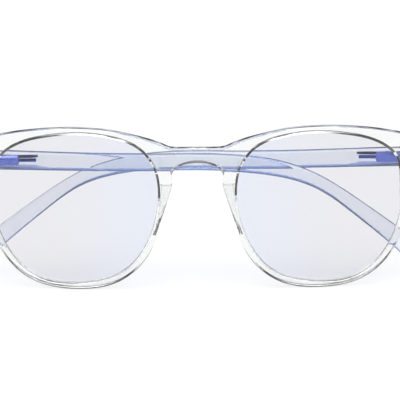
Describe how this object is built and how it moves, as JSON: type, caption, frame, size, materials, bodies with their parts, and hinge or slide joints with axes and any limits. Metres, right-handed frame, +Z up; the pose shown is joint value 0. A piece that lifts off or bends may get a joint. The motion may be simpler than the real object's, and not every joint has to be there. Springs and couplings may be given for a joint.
{
  "type": "blue light glasses",
  "caption": "Clear full-rim glasses with faintly blue lenses, a saddle bridge, bonded nose pads and temples that fold flat on metal hinges.",
  "frame": {"origin": "middle of the folded pair's footprint, at the height of the lowest point of the rims", "axes": "+X towards the wearer's left, +Y from the front back towards the wearer, +Z up"},
  "size_m": [0.1396, 0.024, 0.0488],
  "materials": {
    "clear_frame": "clear polished plastic",
    "clear_temple": "clear polished plastic",
    "clear_pad": "clear polished plastic",
    "lens": "coated clear plastic with a faint blue tint",
    "hinge_metal": "satin nickel",
    "screw_metal": "polished steel"
  },
  "bodies": {
    "front": {"front_frame": "clear_frame", "lens_left": "lens", "lens_right": "lens", "nose_pad_left": "clear_pad", "nose_pad_right": "clear_pad", "front_hinge_leaf_left": "hinge_metal", "front_hinge_leaf_right": "hinge_metal", "hinge_screw_left": "screw_metal", "hinge_screw_right": "screw_metal"},
    "left_temple": {"temple_left": "clear_temple", "temple_hinge_leaf_left": "hinge_metal"},
    "right_temple": {"temple_right": "clear_temple", "temple_hinge_leaf_right": "hinge_metal"}
  },
  "joints": [
    {"name": "left_temple_fold", "type": "hinge", "parent": "front", "child": "left_temple", "pos_m": [0.0647, 0.00117, 0.0371], "axis": [0, 0, -1], "range_deg": [0, 91]},
    {"name": "right_temple_fold", "type": "hinge", "parent": "front", "child": "right_temple", "pos_m": [-0.0647, 0.00117, 0.0371], "axis": [0, 0, 1], "range_deg": [0, 95]}
  ]
}
